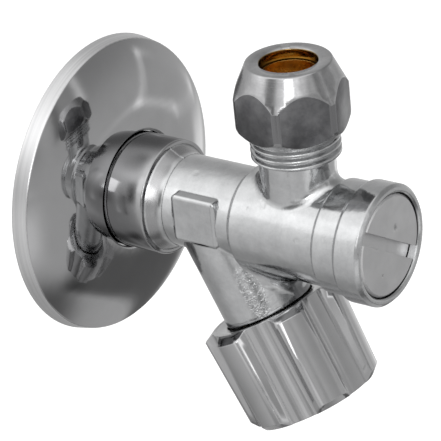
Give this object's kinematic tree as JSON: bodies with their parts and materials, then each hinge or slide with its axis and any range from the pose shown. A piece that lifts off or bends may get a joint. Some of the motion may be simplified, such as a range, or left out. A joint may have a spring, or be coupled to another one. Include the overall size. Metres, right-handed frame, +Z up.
{
  "type": "isolating valve",
  "caption": "Chromed angle isolating valve with a domed wall rosette on a sleeve, an inclined fluted knob, an upright compression outlet and a slotted filter plug in front.",
  "frame": {"origin": "on the inlet axis, in the plane of the finished wall, which is the rosette's back", "axes": "+Y along the inlet axis into the wall, +Z up along the outlet, +X to the right seen from the front"},
  "size_m": [0.058, 0.0774, 0.0758],
  "materials": {
    "body_chrome": "satin-bright chrome on a cast body",
    "rosette_chrome": "mirror chrome",
    "sleeve_chrome": "polished chrome",
    "knob_chrome": "smooth chrome",
    "nut_chrome": "chrome over fine turning and brushing marks",
    "plug_satin": "satin chrome with small pits",
    "turned_brass": "turned",
    "olive_brass": "turned",
    "spring_steel": "bright",
    "strainer_steel": "pressed sheet",
    "strainer_plastic": "moulded",
    "black_rubber": "matt"
  },
  "bodies": {
    "body": {"valve_body": "body_chrome", "rosette_sleeve": "sleeve_chrome", "headwork": "turned_brass", "headwork_seal": "black_rubber"},
    "rosette": {"rosette": "rosette_chrome"},
    "knob": {"knob": "knob_chrome", "knob_screw": "spring_steel", "knob_cap": "knob_chrome", "spindle": "turned_brass", "spindle_o_ring_1": "black_rubber", "spindle_o_ring_2": "black_rubber", "spindle_circlip": "spring_steel"},
    "plunger": {"plunger": "turned_brass", "seat_washer": "black_rubber", "washer_screw": "spring_steel"},
    "olive": {"olive": "olive_brass"},
    "nut": {"compression_nut": "nut_chrome"},
    "strainer": {"strainer": "strainer_steel", "strainer_rear_ring": "strainer_plastic", "strainer_front_ring": "strainer_plastic"},
    "plug": {"filter_plug": "plug_satin", "plug_o_ring": "black_rubber"}
  },
  "joints": [
    {"name": "rosette_slide", "type": "slide", "parent": "body", "child": "rosette", "axis": [0, -1, 0], "range_m": [0, 0.008]},
    {"name": "knob_turn", "type": "hinge", "parent": "body", "child": "knob", "pos_m": [0, -0.026, 0], "axis": [0, -0.454, -0.891], "range_deg": [0, 900]},
    {"name": "plunger_lift", "type": "slide", "parent": "body", "child": "plunger", "axis": [0, -0.454, -0.891], "range_m": [0, 0.00375]},
    {"name": "nut_lift", "type": "slide", "parent": "body", "child": "olive", "axis": [0, 0, 1], "range_m": [0, 0.00401]},
    {"name": "nut_turn", "type": "hinge", "parent": "olive", "child": "nut", "pos_m": [0, -0.0454, 0.026], "axis": [0, 0, 1], "range_deg": [0, 1080]},
    {"name": "strainer_slide", "type": "slide", "parent": "body", "child": "strainer", "axis": [0, -1, 0], "range_m": [0, 0.005]},
    {"name": "plug_turn", "type": "hinge", "parent": "strainer", "child": "plug", "pos_m": [0, -0.06, 0], "axis": [0, -1, 0], "range_deg": [0, 1800]}
  ],
  "couplings": [
    {"joint": "knob_turn", "follows": "plunger_lift", "rad_per_m": 4188.8},
    {"joint": "nut_turn", "follows": "nut_lift", "rad_per_m": 4699.5},
    {"joint": "plug_turn", "follows": "strainer_slide", "rad_per_m": 6283.2}
  ]
}
